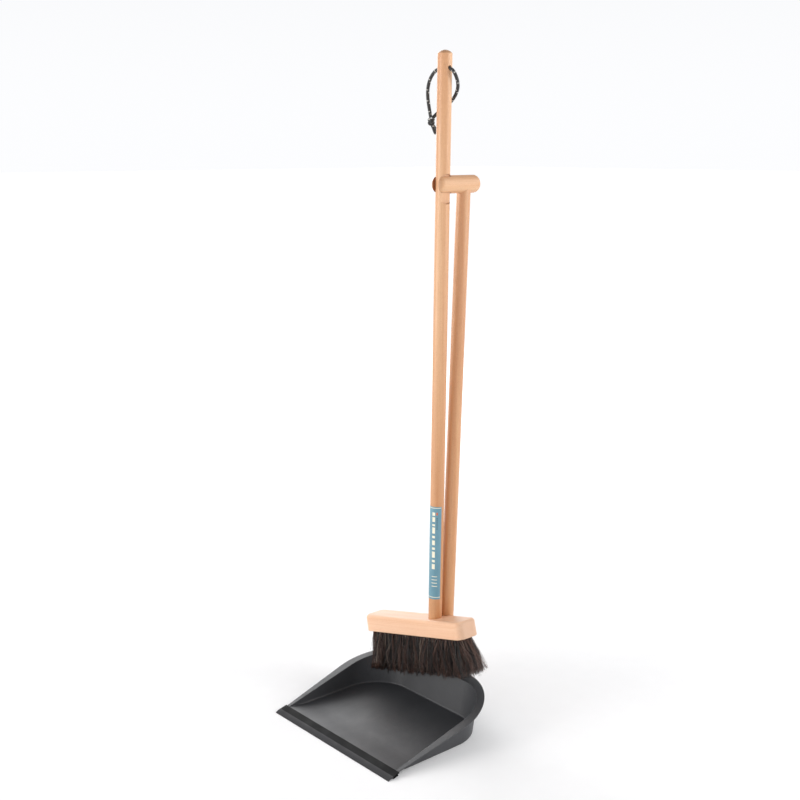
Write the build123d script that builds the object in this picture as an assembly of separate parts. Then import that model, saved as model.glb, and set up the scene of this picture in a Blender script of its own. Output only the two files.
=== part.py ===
"""Long-handled dust pan and brush set: the broom hangs in the forked grip of the dust pan's stick.

Units are millimetres. +X runs along the lip, +Y from the lip to the back, +Z up. Lengths along Y are
measured from the lip's edge, and save() moves every piece to the origin under the tray's flat floor.
"""

import math
import os

from build123d import *

# The part's frame, and a length that reaches past the tray on every side
ORIGIN_FROM_LIP = 110.0
BEYOND = 300.0

# Tray: pressed steel sheet
SHEET = 1.2
FLOOR_HALF = 126.0
FLOOR_BACK = 202.0
FLOOR_CORNER_R = 64.0
SIDE_DRAFT = 1.5
BACK_DRAFT = 10.7
WELL_TALL = 90.0
WELL_FRONT = -60.0
FLOOR_FOLD_R = 2.5
TRAY_FRONT = 7.6
RAMP_FROM = 18.0
RAMP_TO = 62.0
RAMP_SLOPE = -0.09
RIM_FRONT_Z = 2.6
RIM_SLOPE = 0.2552
FLANGE_FRONT_HALF = 130.5
FLANGE_BACK_HALF = 149.0
FLANGE_BACK = 228.0
FLANGE_CORNER_R = 90.0
TONGUE_HALF = 27.0
TONGUE_BACK = 246.0
TONGUE_R = 9.0

# Lip strip: extruded rubber
LIP_HALF = 133.5
LIP_SHIFT = 1.2
LEAF = 1.4
LEAF_BACK = 17.4
LOWER_LEAF_BACK = 15.5
CLIP_PLAY = 0.05
FLAP_OUT = 2.6

# Pan stick, its socket and its grip
PAN_STICK_D = 20.6
PAN_STICK_Y = 226.4
PAN_STICK_LEAN = 2.28
SOCKET_PLAY = 0.08
SOCKET_WALL = 1.5
SOCKET_TALL = 36.0
FOOT_T = 2.0
FOOT_HALF = 23.0
FOOT_DEEP = 29.0
RIVET_SPACING = 35.0
RIVET_D = 4.0
SOCKET_SCREW_UP = 20.0
GRIP_D = 26.2
GRIP_Z = 796.5
GRIP_FRONT = 202.0
GRIP_LONG = 82.0
GRIP_ROUND = 8.6
FORK_SLOT = 13.0
FORK_DEEP = 25.6
DOWEL_D = 8.0
DOWEL_LONG = 34.0

# Broom stick
BROOM_STICK_D = 21.0
BROOM_Y = 216.2
BROOM_LEAN = 0.58
BROOM_SIDE_LEAN = 0.235
BROOM_TOP = 982.0
DOME_HIGH = 4.8
NOTCH_HALF = 6.1
NOTCH_R = 13.5
NOTCH_TOP = 14.9
NOTCH_BOTTOM = -27.5
CORD_HOLE_D = 6.0
CORD_HOLE_Z = 957.5
TENON_D = 16.0
TENON_BOTTOM = 119.0

# Brush block and bristles, in a frame at the stick, tilted so that the +X end is up
BLOCK_TOP_Z = 138.0
BLOCK_TILT = 14.1
BLOCK_LEFT = 157.0
BLOCK_RIGHT = 72.0
BLOCK_WIDE = 42.0
BLOCK_THICK = 26.5
BLOCK_OFFSET = 1.6
BLOCK_CORNER_R = 12.0
BLOCK_TOP_R = 5.0
BLOCK_BOTTOM_R = 1.5
NOTCH_PLAY = 0.9
ROWS = 5
ROW_PITCH = 7.5
ROW_THICK = 6.2
ROW_FAN = 2.5
ROW_INSET = 6.5
OUTER_ROW_INSET = 12.0
LONG_LEFT = 60.5
LONG_RIGHT = 54.5
FLARE_LEFT = 18.0
FLARE_RIGHT = 12.0
TIP_CORNER_R = 12.0
BRISTLE_GAP = 1.2
TUFT_PITCH = 9.2
TUFT_D = 4.6
TUFT_DEEP = 9.0
STAPLE = (4.4, 0.6, 2.0)
STAPLE_DEPTH = 7.8
BLOCK_SCREW_LONG = 42.0

# Label
LABEL_Z = (172.0, 319.0)
LABEL_T = 0.15
LABEL_PLAY = 0.02
LABEL_FROM = -199.0
LABEL_TO = -3.0

# Cord loop, from the middle of the cord hole
CORD_D = 4.8
KNOT_AT = (-27.0, 0.5, -73.0)
KNOT_R = 5.8
CORD_RIGHT = [
    (0.0, 0.0, 0.0),
    (13.5, 0.0, 0.0),
    (18.0, 6.0, -12.0),
    (14.5, 13.5, -25.0),
    (4.0, 18.0, -37.5),
    (-9.0, 18.5, -48.0),
    (-21.5, 13.0, -56.5),
    (-27.0, 3.0, -68.0),
]
CORD_LEFT = [
    (0.0, 0.0, 0.0),
    (-14.5, 0.0, 0.0),
    (-27.0, -1.0, -10.0),
    (-32.5, -2.0, -24.0),
    (-32.5, -2.2, -38.5),
    (-30.0, -1.5, -53.0),
    (-27.5, 0.0, -67.5),
]
CORD_TAILS = [
    [(-26.5, 1.0, -76.5), (-24.0, 2.5, -82.5), (-21.5, 4.5, -91.0)],
    [(-27.0, 2.5, -76.5), (-26.0, 6.5, -81.5), (-24.0, 9.5, -87.0)],
]


def rim_z(y):
    """Height of the tray's inclined rim plane."""
    return RIM_FRONT_Z + RIM_SLOPE * (y - TRAY_FRONT)


def side_prism(points):
    """A (y, z) outline run along X, to both sides."""
    face = make_face(Plane.YZ * Polyline(*points, close=True))
    return extrude(face, BEYOND, both=True)


def u_plan(front_half, back_half, front, back, radius):
    """A plan with its two back corners rounded."""
    corners = [(-front_half, front), (front_half, front), (back_half, back), (-back_half, back)]
    face = make_face(Polyline(*corners, close=True))
    return fillet(face.vertices().sort_by(Axis.Y)[-2:], radius)


def drafted_tub(grow, base_z, fold_r):
    """The tray's drafted well as a solid, open-ended towards the front."""
    half, back, radius = FLOOR_HALF + grow, FLOOR_BACK + grow, FLOOR_CORNER_R + grow
    out = WELL_TALL * math.tan(math.radians(SIDE_DRAFT))
    behind = WELL_TALL * math.tan(math.radians(BACK_DRAFT))
    low_plan = u_plan(half, half, WELL_FRONT, back, radius)
    high_plan = u_plan(half + out, half + out, WELL_FRONT, back + behind, radius + out)
    tub = loft([Pos(0, 0, base_z) * low_plan, Pos(0, 0, base_z + WELL_TALL) * high_plan], ruled=True)
    low = [e for e in tub.edges().group_by(Axis.Z)[0] if e.center().Y > WELL_FRONT + 1.0]
    return fillet(low, fold_r)


def under_rim(drop):
    """Everything below the rim plane and above the same plane lowered by drop."""
    y0, y1 = TRAY_FRONT, BEYOND
    return side_prism([(y0, rim_z(y0)), (y1, rim_z(y1)), (y1, rim_z(y1) - drop), (y0, rim_z(y0) - drop)])


def above_floor(lift):
    """Everything above the floor's side view: up from the front edge, down a soft ramp, then flat."""
    crest = (RAMP_FROM, rim_z(RAMP_FROM) - SHEET + lift)
    rise = Line((TRAY_FRONT, rim_z(TRAY_FRONT) - SHEET + lift), crest)
    ramp = Spline(crest, (RAMP_TO, lift), tangents=[(1.0, RAMP_SLOPE), (1.0, 0.0)])
    rest = Polyline(ramp @ 1, (BEYOND, lift), (BEYOND, BEYOND), (TRAY_FRONT, BEYOND), rise @ 0)
    return extrude(make_face(Plane.YZ * (rise + ramp + rest)), BEYOND, both=True)


def pan_tray():
    space = above_floor(0.0)
    flange_plan = u_plan(FLANGE_FRONT_HALF, FLANGE_BACK_HALF, TRAY_FRONT, FLANGE_BACK, FLANGE_CORNER_R)
    tongue = Pos(0, (FLOOR_BACK + TONGUE_BACK) / 2) * Rectangle(2 * TONGUE_HALF, TONGUE_BACK - FLOOR_BACK)
    outline = flange_plan + tongue
    corners = [v for v in outline.vertices() if v.Y > FLANGE_BACK - 0.1 and abs(v.X) < TONGUE_HALF + 1]
    outline = fillet(corners, TONGUE_R)
    flange = extrude(outline, BEYOND) & under_rim(SHEET)
    well = drafted_tub(SHEET, 0.0, FLOOR_FOLD_R + SHEET) & space & under_rim(BEYOND)
    hollow = drafted_tub(0.0, SHEET, FLOOR_FOLD_R) & above_floor(SHEET)
    tray = (well + flange) & space
    return tray - hollow - socket_rivets_holes()


def lip_strip():
    """Clip over the tray's front edge and a curved wiping flap that reaches the ground."""
    play = CLIP_PLAY
    z0, zb = rim_z(TRAY_FRONT), rim_z(LEAF_BACK)
    zl = rim_z(LOWER_LEAF_BACK) - SHEET
    top = Polyline((LEAF_BACK, zb + play), (LEAF_BACK, zb + play + LEAF), (7.2, z0 + play + LEAF))
    flap_top = ThreePointArc(top @ 1, (2.0, 2.8), (-FLAP_OUT, 0.0))
    tip = Line(flap_top @ 1, (-FLAP_OUT + 1.1, 0.0))
    flap_under = ThreePointArc(tip @ 1, (2.3, 1.6), (5.6, 2.1))
    nose = Polyline(
        flap_under @ 1,
        (6.3, 0.35),
        (LOWER_LEAF_BACK, zl - play - LEAF),
        (LOWER_LEAF_BACK, zl - play),
        (TRAY_FRONT - play, z0 - SHEET - play),
        (TRAY_FRONT - play, z0 + play),
        top @ 0,
    )
    face = make_face(Plane.YZ * (top + flap_top + tip + flap_under + nose))
    return Pos(LIP_SHIFT, 0, 0) * extrude(face, LIP_HALF, both=True)


def stick_frame():
    """Along the pan stick: origin on the rim plane, +Z up the stick."""
    return Pos(0, PAN_STICK_Y, 0) * Rot(-PAN_STICK_LEAN, 0, 0)


def rim_frame():
    """On the flange's top where the pan stick stands, tilted as the rim is."""
    y = PAN_STICK_Y + 2.3
    return Pos(0, y, rim_z(y)) * Rot(math.degrees(math.atan(RIM_SLOPE)), 0, 0)


def socket_rivets_holes():
    drill = Cylinder(RIVET_D / 2, 20.0)
    return [rim_frame() * Pos(x, 0, 0) * drill for x in (-RIVET_SPACING / 2, RIVET_SPACING / 2)]


def stick_socket():
    """A steel tube welded to a foot plate."""
    bore = PAN_STICK_D / 2 + SOCKET_PLAY
    top = rim_z(PAN_STICK_Y) + SOCKET_TALL
    tube = stick_frame() * Pos(0, 0, top / 2) * Cylinder(bore + SOCKET_WALL, top)
    tube = fillet(tube.edges().sort_by(Axis.Z)[-1], 0.6)
    above_foot = rim_frame() * Pos(0, 0, 100.0) * Box(200, 200, 200)
    foot = rim_frame() * Pos(0, 0, FOOT_T / 2) * Box(2 * FOOT_HALF, FOOT_DEEP, FOOT_T)
    foot = fillet(foot.edges().filter_by(Axis.Z, tolerance=20.0), 5.0)
    inside = stick_frame() * Pos(0, 0, 100.0) * Cylinder(bore, 200.0)
    inside = inside & (rim_frame() * Pos(0, 0, 100.0 + FOOT_T) * Box(200, 200, 200))
    return foot + (tube & above_foot) - inside - socket_rivets_holes() - screw_clearance()


def socket_rivets():
    shank = Cylinder(RIVET_D / 2 - 0.02, SHEET + FOOT_T + 0.1)
    shank = Pos(0, 0, (FOOT_T - SHEET) / 2) * shank
    head = Pos(0, 0, FOOT_T) * (Sphere(4.4) & Pos(0, 0, 3.0) * Cylinder(3.9, 2.4))
    head = Pos(0, 0, -1.75) * head
    tail = Pos(0, 0, -SHEET - 0.65) * Cylinder(3.0, 1.2)
    rivet = shank + head + tail
    return [rim_frame() * Pos(x, 0, 0) * rivet for x in (-RIVET_SPACING / 2, RIVET_SPACING / 2)]


def screw_frame():
    """Through the socket's back wall into the stick, pointing inwards."""
    up = rim_z(PAN_STICK_Y) + SOCKET_SCREW_UP
    return stick_frame() * Pos(0, 0, up) * Rot(90, 0, 0)


def wood_screw(length, shank_d, head_d, head_high):
    """A pan-head wood screw with its tip at -length and its head above zero."""
    root = Pos(0, 0, -length / 2 + 1.5) * Cylinder(shank_d / 2, length - 3.0)
    tip = Pos(0, 0, -length + 1.5) * Cone(0.4, shank_d / 2, 3.0)
    head = Pos(0, 0, head_high / 2) * Cylinder(head_d / 2, head_high)
    head = fillet(head.edges().sort_by(Axis.Z)[-1], head_high * 0.45)
    slot = Pos(0, 0, head_high) * (Box(head_d * 0.6, 1.0, 1.6) + Box(1.0, head_d * 0.6, 1.6))
    return root + tip + head - slot


def screw_clearance():
    return screw_frame() * Cylinder(1.92, 60.0) & (Pos(0, PAN_STICK_Y + 60, 90) * Box(60, 120, 80))


def socket_screw():
    seat = PAN_STICK_D / 2 + SOCKET_PLAY + SOCKET_WALL
    return screw_frame() * Rot(180, 0, 0) * Pos(0, 0, seat) * wood_screw(12.0, 3.8, 7.4, 2.3)


def dowel(play=0.0):
    """The hidden dowel between the pan stick and the grip."""
    middle = GRIP_Z - GRIP_D / 2 - 1.0
    return stick_frame() * Pos(0, 0, middle) * Cylinder(DOWEL_D / 2 + play, DOWEL_LONG + 2 * play)


def pan_stick():
    low = rim_z(PAN_STICK_Y) + FOOT_T + 3.2
    stick = stick_frame() * Pos(0, 0, (low + GRIP_Z) / 2) * Cylinder(PAN_STICK_D / 2, GRIP_Z - low)
    stick = stick - (rim_frame() * Pos(0, 0, FOOT_T + 0.1 - 50.0) * Box(100, 100, 100))
    screw = screw_frame() * Rot(180, 0, 0) * Pos(0, 0, 5.0) * Cylinder(1.95, 16.0)
    return stick - grip_round(0.02) - dowel(0.05) - screw


def grip_round(grow=0.0):
    """The grip's dowel along Y."""
    middle = GRIP_FRONT + GRIP_LONG / 2
    return Pos(0, middle, GRIP_Z) * Rot(90, 0, 0) * Cylinder(GRIP_D / 2 + grow, GRIP_LONG)


def grip():
    body = grip_round()
    ends = body.edges().filter_by(GeomType.CIRCLE)
    body = fillet(ends, GRIP_ROUND)
    slot = Pos(0, GRIP_FRONT + FORK_DEEP / 2 - 5.0, GRIP_Z) * Box(FORK_SLOT, FORK_DEEP + 10.0, 60.0)
    slot = fillet(slot.edges().filter_by(Axis.Z).sort_by(Axis.Y)[-2:], 1.6)
    return body - slot - dowel(0.05)


def broom_frame():
    """The broom leans back a little, and a trace to the side, about the grip."""
    return Pos(0, BROOM_Y, GRIP_Z) * Rot(-BROOM_LEAN, BROOM_SIDE_LEAN, 0) * Pos(0, 0, -GRIP_Z)


def block_frame():
    return Pos(0, 0, BLOCK_TOP_Z) * Rot(0, -BLOCK_TILT, 0)


def block_body():
    plan = Rectangle(BLOCK_LEFT + BLOCK_RIGHT, BLOCK_WIDE)
    plan = Pos((BLOCK_RIGHT - BLOCK_LEFT) / 2, BLOCK_OFFSET) * fillet(plan.vertices(), BLOCK_CORNER_R)
    body = extrude(Pos(0, 0, -BLOCK_THICK) * plan, BLOCK_THICK, taper=1.5)
    body = fillet(body.edges().group_by(Axis.Z)[-1], BLOCK_TOP_R)
    return fillet(body.edges().group_by(Axis.Z)[0], BLOCK_BOTTOM_R)


def pan_stick_room(play):
    """The pan stick's place, seen from the broom's frame."""
    room = stick_frame() * Pos(0, 0, 250.0) * Cylinder(PAN_STICK_D / 2 + play, 500.0)
    return broom_frame().inverse() * room


def tenon(play=0.0):
    top = BLOCK_TOP_Z - 3.0
    return Pos(0, 0, (TENON_BOTTOM + top) / 2) * Cylinder(TENON_D / 2 + play, top - TENON_BOTTOM + 2 * play)


def block_screw(play=0.0):
    """A countersunk screw from under the block into the stick."""
    head_z = BLOCK_TOP_Z - BLOCK_THICK + 1.5
    shank = Pos(0, 0, head_z + BLOCK_SCREW_LONG / 2) * Cylinder(1.9 + play, BLOCK_SCREW_LONG)
    head = Pos(0, 0, head_z + 1.2) * Cone(3.9 + play, 1.9 + play, 2.4)
    return shank + head


def screw_pocket():
    """The opening below the sunk screw head."""
    return Pos(0, 0, BLOCK_TOP_Z - BLOCK_THICK - 2.4) * Cylinder(4.2, 8.0)


def brush_block():
    shoulder = Pos(0, 0, BLOCK_TOP_Z - 3.0 + 20.0) * Cylinder(BROOM_STICK_D / 2 + 0.03, 40.0)
    block = block_frame() * block_body()
    block = block - shoulder - tenon(0.03) - block_screw(0.03) - screw_pocket() - pan_stick_room(NOTCH_PLAY)
    return broom_frame() * (block - [block_frame() * hole for hole in tuft_places(tuft_pocket)])


def notch_side(side):
    """One flat of the broom stick's notch, milled with round ends."""
    run = NOTCH_TOP - NOTCH_BOTTOM - 2 * NOTCH_R
    outline = Plane.YZ * Rot(0, 0, 90) * SlotCenterToCenter(run, 2 * NOTCH_R)
    cutter = extrude(outline, BROOM_STICK_D)
    middle = GRIP_Z + (NOTCH_TOP + NOTCH_BOTTOM) / 2
    shift = NOTCH_HALF if side > 0 else -NOTCH_HALF - BROOM_STICK_D
    return Pos(shift, 0, middle) * cutter


def broom_stick():
    low = BLOCK_TOP_Z - 3.0
    long = BROOM_TOP - DOME_HIGH - low
    stick = Pos(0, 0, low + long / 2) * Cylinder(BROOM_STICK_D / 2, long)
    ball_r = ((BROOM_STICK_D / 2) ** 2 + DOME_HIGH**2) / (2 * DOME_HIGH)
    cap = Pos(0, 0, BROOM_TOP - ball_r) * Sphere(ball_r) & Pos(0, 0, BROOM_TOP) * Box(60, 60, 2 * DOME_HIGH)
    stick = stick + cap
    stick = stick - notch_side(1) - notch_side(-1)
    hole = Pos(0, 0, CORD_HOLE_Z) * Rot(0, 90, 0) * Cylinder(CORD_HOLE_D / 2, 60.0)
    return broom_frame() * (stick + tenon() - hole - block_screw(0.03))


def row_y(row):
    return BLOCK_OFFSET + (row - (ROWS - 1) / 2) * ROW_PITCH


def tuft_xs():
    """Places of the tufts along a row."""
    count = int((BLOCK_LEFT + BLOCK_RIGHT - 2 * OUTER_ROW_INSET) // TUFT_PITCH)
    first = (BLOCK_RIGHT - BLOCK_LEFT) / 2 - (count - 1) * TUFT_PITCH / 2
    return [first + i * TUFT_PITCH for i in range(count)]


def tuft_places(make, rows=range(ROWS)):
    """One piece of each tuft, leaving room for the tenon and for the notch behind it."""
    tenon_x = -BLOCK_THICK * math.sin(math.radians(BLOCK_TILT))
    pieces = []
    for row in rows:
        for x in tuft_xs():
            near_tenon = abs(row_y(row)) < TENON_D / 2 + TUFT_D and abs(x - tenon_x) < TENON_D / 2 + TUFT_D
            near_notch = row_y(row) > TENON_D / 2 - TUFT_D / 2 and abs(x - tenon_x) < PAN_STICK_D
            if not near_tenon and not near_notch:
                pieces.append(Pos(x, row_y(row), -BLOCK_THICK) * make())
    return pieces


def tuft_pocket():
    return Pos(0, 0, TUFT_DEEP / 2 - 0.5) * Cylinder(TUFT_D / 2, TUFT_DEEP + 1.0)


def tuft_staple():
    return Pos(0, 0, STAPLE_DEPTH) * Box(*STAPLE)


def tuft_root():
    """The folded end of a tuft in its hole, under the staple."""
    long = STAPLE_DEPTH - STAPLE[2] / 2 - 0.2
    return Pos(0, 0, long / 2) * Cylinder(TUFT_D / 2 - 0.1, long)


def tray_room():
    """Where bristles may be: over the rim, or inside the tray's well."""
    y0, y1 = WELL_FRONT, BEYOND
    over_rim = [(y1, rim_z(y1) + BRISTLE_GAP), (y0, rim_z(y0) + BRISTLE_GAP)]
    low = side_prism([(y0, -BEYOND), (y1, -BEYOND)] + over_rim)
    well = drafted_tub(-BRISTLE_GAP, SHEET + 3.0, FLOOR_FOLD_R)
    foot = rim_frame() * Pos(0, 0, 4.5) * Box(2 * FOOT_HALF + 4, FOOT_DEEP + 4, 9.0)
    tube = stick_frame() * Pos(0, 0, 60.0) * Cylinder(PAN_STICK_D / 2 + 3.2, 120.0)
    return broom_frame().inverse() * (low - well + foot + tube)


def bristle_row(row, keep_out):
    """The space that one row of tufts fills, flared at its ends."""
    inset = OUTER_ROW_INSET if row in (0, ROWS - 1) else ROW_INSET
    left, right = inset - BLOCK_LEFT, BLOCK_RIGHT - inset
    corners = [(left, 0), (right, 0), (right + FLARE_RIGHT, -LONG_RIGHT), (left - FLARE_LEFT, -LONG_LEFT)]
    face = make_face(Plane.XZ * Polyline(*corners, close=True))
    face = fillet(face.vertices().sort_by(Axis.Z)[:2], TIP_CORNER_R)
    slab = extrude(face, ROW_THICK / 2, both=True)
    fan = Rot(ROW_FAN * (row - (ROWS - 1) / 2), 0, 0)
    slab = Pos(0, row_y(row), -BLOCK_THICK) * fan * slab
    slab = slab & Pos(0, 0, -BLOCK_THICK - 60.0) * Box(500, 100, 120)
    slab = block_frame() * (slab + tuft_places(tuft_root, [row]))
    return broom_frame() * (slab - keep_out)


def label_sticker():
    low, high = LABEL_Z
    inner = BROOM_STICK_D / 2 + LABEL_PLAY
    on_axis = (Align.NONE, Align.NONE, Align.CENTER)
    wrap = Cylinder(inner + LABEL_T, high - low, arc_size=LABEL_TO - LABEL_FROM, align=on_axis)
    wrap = wrap - Cylinder(inner, high - low)
    return broom_frame() * Pos(0, 0, (low + high) / 2) * Rot(0, 0, LABEL_FROM) * wrap


def cord_bends(points):
    """A radius for each corner of a route, as large as its two runs allow."""
    runs = [Vector(*b) - Vector(*a) for a, b in zip(points, points[1:])]
    radii = []
    for before, after in zip(runs, runs[1:]):
        half_turn = math.radians(before.get_angle(after)) / 2
        radii.append(0.45 * min(before.length, after.length) / math.tan(half_turn))
    return radii


def cord_tube(points):
    radii = cord_bends(points)
    print("cord radii", [round(r, 1) for r in radii])
    path = FilletPolyline(*points, radius=radii)
    start = Plane(origin=path @ 0, z_dir=path % 0)
    tube = sweep(start * Circle(CORD_D / 2), path=path)
    share = tube.volume / (math.pi * CORD_D**2 / 4 * path.length)
    print("cord length", round(path.length, 1), "volume share", round(share, 4))
    return tube


def cord_knot():
    """The tied lump with its two short tails."""
    lump = Pos(*KNOT_AT) * Sphere(KNOT_R)
    for tail in CORD_TAILS:
        lump = lump + cord_tube(tail)
    return lump - cord_tube(CORD_RIGHT) - cord_tube(CORD_LEFT)


def at_cord_hole(shape):
    return broom_frame() * Pos(0, 0, CORD_HOLE_Z) * shape


def save(name, shape):
    """Writes one piece, moved to the part's own origin."""
    move = Pos(0, -ORIGIN_FROM_LIP, 0)
    pieces = shape if isinstance(shape, list) else list(shape.solids())
    pieces = [solid for piece in pieces for solid in piece.solids()]
    moved = [move * piece for piece in pieces]
    export_step(moved[0] if len(moved) == 1 else Compound(children=moved), f"parts/{name}.step")


def main():
    os.makedirs("parts", exist_ok=True)
    save("pan_tray", pan_tray())
    save("lip_strip", lip_strip())
    save("stick_socket", stick_socket())
    save("socket_rivets", socket_rivets())
    save("socket_screw", socket_screw())
    save("pan_stick", pan_stick())
    save("grip_dowel", dowel())
    save("grip", grip())
    save("broom_stick", broom_stick())
    save("brush_block", brush_block())
    save("block_screw", broom_frame() * block_screw())
    save("label_sticker", label_sticker())
    staples = [broom_frame() * block_frame() * piece for piece in tuft_places(tuft_staple)]
    save("tuft_staples", staples)
    keep_out = tray_room()
    for row in range(ROWS):
        save(f"bristle_row_{row + 1}", bristle_row(row, keep_out))
    save("cord_right", at_cord_hole(cord_tube(CORD_RIGHT)))
    save("cord_left", at_cord_hole(cord_tube(CORD_LEFT)))
    save("cord_knot", at_cord_hole(cord_knot()))


main()
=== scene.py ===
"""Looks of the dust pan and brush set: oiled beech, coated steel, rubber, horsehair and a braided cord."""

import math

import bpy
import numpy as np
from mathutils import Euler, Matrix, Vector


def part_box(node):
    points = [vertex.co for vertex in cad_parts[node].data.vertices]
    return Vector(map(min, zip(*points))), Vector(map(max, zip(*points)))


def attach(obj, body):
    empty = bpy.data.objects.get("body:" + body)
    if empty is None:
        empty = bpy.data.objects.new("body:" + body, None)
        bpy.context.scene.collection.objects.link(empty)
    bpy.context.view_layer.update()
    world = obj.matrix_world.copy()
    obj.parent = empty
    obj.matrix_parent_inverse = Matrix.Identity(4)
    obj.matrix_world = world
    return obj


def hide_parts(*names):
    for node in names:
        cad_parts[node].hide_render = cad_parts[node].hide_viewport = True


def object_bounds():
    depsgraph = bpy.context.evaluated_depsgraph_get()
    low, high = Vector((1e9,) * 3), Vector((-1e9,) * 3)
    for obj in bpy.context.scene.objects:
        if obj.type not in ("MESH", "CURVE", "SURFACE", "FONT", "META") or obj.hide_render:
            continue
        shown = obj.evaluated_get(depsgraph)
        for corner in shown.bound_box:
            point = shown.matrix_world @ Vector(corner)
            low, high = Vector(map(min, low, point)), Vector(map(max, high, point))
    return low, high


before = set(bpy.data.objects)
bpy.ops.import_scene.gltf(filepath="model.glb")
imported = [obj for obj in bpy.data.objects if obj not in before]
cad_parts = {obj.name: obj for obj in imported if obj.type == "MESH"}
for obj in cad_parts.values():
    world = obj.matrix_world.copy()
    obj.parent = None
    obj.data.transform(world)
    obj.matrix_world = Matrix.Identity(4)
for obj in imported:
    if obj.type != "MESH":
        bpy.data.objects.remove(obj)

CAD_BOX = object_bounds()

# The broom hangs from the grip and leans a little from there.
GRIP_PIVOT = Vector((0.0, 0.1062, 0.7965))
FORK_DEEP = 0.0256
FORK_HALF = 0.0065
BROOM_TILT = Euler((math.radians(-0.58), math.radians(0.235), 0.0))
TO_PIVOT = Matrix.Translation((0, 0, -GRIP_PIVOT.z))
BROOM = Matrix.Translation(GRIP_PIVOT) @ BROOM_TILT.to_matrix().to_4x4() @ TO_PIVOT

# The brush block's top face at the stick, tilted so that the +X end is up.
BLOCK_TILT = math.radians(14.1)
BLOCK_TOP = 0.138
BLOCK_THICK = 0.0265
BLOCK = BROOM @ Matrix.Translation((0, 0, BLOCK_TOP)) @ Euler((0, -BLOCK_TILT, 0)).to_matrix().to_4x4()

# The cord hangs from a cross hole near the top. Its points are measured from the middle of the hole.
CORD_HOLE_Z = 0.9575
CORD_D = 0.0048
CORD_RIGHT = [
    (0.0, 0.0, 0.0),
    (0.0135, 0.0, 0.0),
    (0.018, 0.006, -0.012),
    (0.0145, 0.0135, -0.025),
    (0.004, 0.018, -0.0375),
    (-0.009, 0.0185, -0.048),
    (-0.0215, 0.013, -0.0565),
    (-0.027, 0.003, -0.068),
]
CORD_LEFT = [
    (0.0, 0.0, 0.0),
    (-0.0145, 0.0, 0.0),
    (-0.027, -0.001, -0.010),
    (-0.0325, -0.002, -0.024),
    (-0.0325, -0.0022, -0.0385),
    (-0.030, -0.0015, -0.053),
    (-0.0275, 0.0, -0.0675),
]
CORD_TAILS = [
    [(-0.0265, 0.001, -0.0765), (-0.024, 0.0025, -0.0825), (-0.0215, 0.0045, -0.091)],
    [(-0.027, 0.0025, -0.0765), (-0.026, 0.0065, -0.0815), (-0.024, 0.0095, -0.087)],
]
KNOT_AT = (-0.027, 0.0005, -0.073)

# The camera stands where it sees the set as in the picture, and takes in the whole height.
CAMERA_AT = Vector((1.25283, -1.06112, 0.84732))
CAMERA_LENS = 53.0

# Wooden edges are softened by this radius in shading
EDGE_ROUND = 0.0004

# The label's outer face, round the broom stick
LABEL_R = 0.01067


# ---------------------------------------------------------------- materials


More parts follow.
